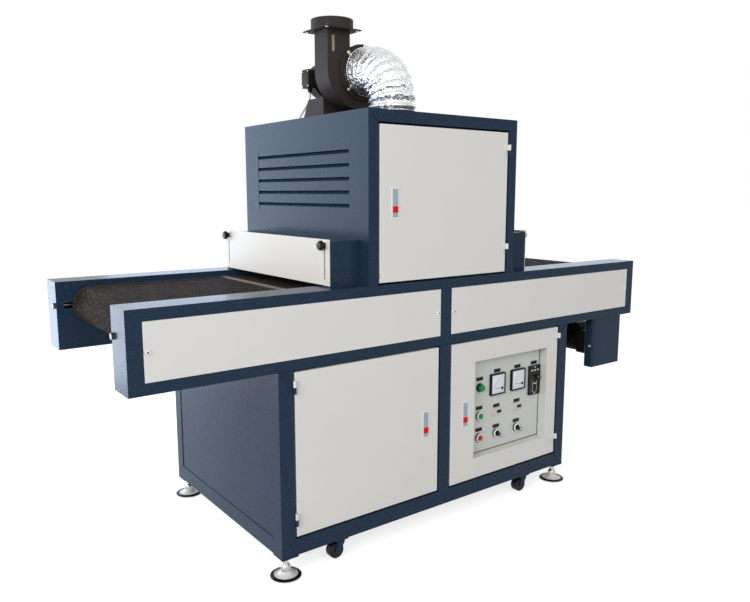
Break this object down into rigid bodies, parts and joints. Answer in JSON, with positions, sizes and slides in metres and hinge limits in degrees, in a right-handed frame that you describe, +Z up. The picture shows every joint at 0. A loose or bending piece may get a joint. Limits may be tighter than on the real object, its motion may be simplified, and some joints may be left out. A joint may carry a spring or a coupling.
{
  "type": "uv curing tunnel",
  "caption": "Conveyor dryer: a mesh belt between box rails carries work through a gated lamp hood with an extractor blower on top, on a cabinet with levelling feet and casters.",
  "frame": {"origin": "on the floor below the middle of the machine", "axes": "+X along the belt from infeed to outfeed, -Y towards the doors and controls, +Z up"},
  "size_m": [2.007, 0.7898, 1.65],
  "materials": {
    "navy_coat": "fine textured powder coat",
    "panel_coat": "smooth light grey powder coat",
    "pan_coat": "smooth light grey enamel",
    "belt_mesh": "coated glass-fibre mesh",
    "steel": "turned steel",
    "zinc": "zinc plated sheet",
    "chrome": "bright plating",
    "reflector": "polished aluminium",
    "foil": "crinkled aluminium foil",
    "quartz": "clear quartz",
    "blower_coat": "dark grey-brown enamel",
    "black_plastic": "moulded black plastic",
    "motor_black": "black enamel",
    "instrument": "black bezels",
    "wheel": "black moulded tread",
    "latch": "grey moulded latch",
    "lead": "light grey cable sheath",
    "dial_card": "white dial card",
    "counter_case": "pale moulded counter case",
    "signal_green": "green cap or lens",
    "signal_red": "red cap"
  },
  "bodies": {
    "machine": {"back_rail": "navy_coat", "base_back_panels": "navy_coat", "base_frame": "navy_coat", "base_plates": "navy_coat", "base_side_panels": "navy_coat", "belt_bed": "zinc", "blower_housing": "blower_coat", "blower_motor": "motor_black", "blower_stand": "blower_coat", "caster_plates": "navy_coat", "conveyor_belt": "belt_mesh", "drive_guard": "navy_coat", "drive_motor": "motor_black", "duct_clamps": "chrome", "flex_duct": "foil", "front_rail": "navy_coat", "gate_clamps": "black_plastic", "hood_back_panel": "navy_coat", "hood_frame": "navy_coat", "hood_side_panels": "navy_coat", "hood_top_panel": "navy_coat", "lamp_reflectors": "reflector", "lead_grommet": "black_plastic", "levelling_feet": "chrome", "motor_bracket": "navy_coat", "motor_lead": "lead", "outlet_collar": "blower_coat", "rail_panels": "panel_coat", "take_up_bolts": "steel", "tunnel_boxes": "navy_coat", "uv_lamps": "quartz"},
    "hood_door": {"hood_door": "panel_coat", "hood_door_latch": "latch"},
    "left_door": {"left_door": "panel_coat", "left_door_latch": "latch"},
    "control_door": {"control_door": "panel_coat", "control_panel": "pan_coat", "panel_meters": "instrument", "speed_controller": "instrument", "panel_switches": "black_plastic", "control_door_latch": "latch"},
    "infeed_gate": {"infeed_gate": "panel_coat"},
    "outfeed_gate": {"outfeed_gate": "panel_coat"},
    "infeed_roller": {"infeed_roller": "steel"},
    "drive_roller": {"drive_roller": "steel"},
    "caster_fork_front_left": {"caster_fork_front_left": "navy_coat"},
    "caster_wheel_front_left": {"caster_wheel_front_left": "wheel"},
    "caster_fork_front_right": {"caster_fork_front_right": "navy_coat"},
    "caster_wheel_front_right": {"caster_wheel_front_right": "wheel"},
    "caster_fork_back_left": {"caster_fork_back_left": "navy_coat"},
    "caster_wheel_back_left": {"caster_wheel_back_left": "wheel"},
    "caster_fork_back_right": {"caster_fork_back_right": "navy_coat"},
    "caster_wheel_back_right": {"caster_wheel_back_right": "wheel"}
  },
  "joints": [
    {"name": "hood_door_hinge", "type": "hinge", "parent": "machine", "child": "hood_door", "pos_m": [0.265, -0.38, 1], "axis": [0, 0, 1], "range_deg": [0, 110]},
    {"name": "left_door_hinge", "type": "hinge", "parent": "machine", "child": "left_door", "pos_m": [-0.555, -0.38, 0.35], "axis": [0, 0, -1], "range_deg": [0, 110]},
    {"name": "control_door_hinge", "type": "hinge", "parent": "machine", "child": "control_door", "pos_m": [0.555, -0.38, 0.35], "axis": [0, 0, 1], "range_deg": [0, 110]},
    {"name": "infeed_gate_slide", "type": "slide", "parent": "machine", "child": "infeed_gate", "axis": [0, 0, 1], "range_m": [0, 0.095]},
    {"name": "outfeed_gate_slide", "type": "slide", "parent": "machine", "child": "outfeed_gate", "axis": [0, 0, 1], "range_m": [0, 0.095]},
    {"name": "drive_roller_spin", "type": "hinge", "parent": "machine", "child": "drive_roller", "pos_m": [0.9, 0, 0.734], "axis": [0, 1, 0], "continuous": true},
    {"name": "infeed_roller_spin", "type": "hinge", "parent": "machine", "child": "infeed_roller", "pos_m": [-0.9, 0, 0.734], "axis": [0, 1, 0], "continuous": true},
    {"name": "caster_front_left_swivel", "type": "hinge", "parent": "machine", "child": "caster_fork_front_left", "pos_m": [-0.4, -0.3525, 0.055], "axis": [0, 0, 1], "continuous": true},
    {"name": "caster_front_left_roll", "type": "hinge", "parent": "caster_fork_front_left", "child": "caster_wheel_front_left", "pos_m": [-0.413, -0.3525, 0.028], "axis": [0, 1, 0], "continuous": true},
    {"name": "caster_front_right_swivel", "type": "hinge", "parent": "machine", "child": "caster_fork_front_right", "pos_m": [0.4, -0.3525, 0.055], "axis": [0, 0, 1], "continuous": true},
    {"name": "caster_front_right_roll", "type": "hinge", "parent": "caster_fork_front_right", "child": "caster_wheel_front_right", "pos_m": [0.387, -0.3525, 0.028], "axis": [0, 1, 0], "continuous": true},
    {"name": "caster_back_left_swivel", "type": "hinge", "parent": "machine", "child": "caster_fork_back_left", "pos_m": [-0.4, 0.3525, 0.055], "axis": [0, 0, 1], "continuous": true},
    {"name": "caster_back_left_roll", "type": "hinge", "parent": "caster_fork_back_left", "child": "caster_wheel_back_left", "pos_m": [-0.413, 0.3525, 0.028], "axis": [0, 1, 0], "continuous": true},
    {"name": "caster_back_right_swivel", "type": "hinge", "parent": "machine", "child": "caster_fork_back_right", "pos_m": [0.4, 0.3525, 0.055], "axis": [0, 0, 1], "continuous": true},
    {"name": "caster_back_right_roll", "type": "hinge", "parent": "caster_fork_back_right", "child": "caster_wheel_back_right", "pos_m": [0.387, 0.3525, 0.028], "axis": [0, 1, 0], "continuous": true}
  ],
  "couplings": [
    {"joint": "infeed_roller_spin", "follows": "drive_roller_spin", "ratio": 1}
  ]
}
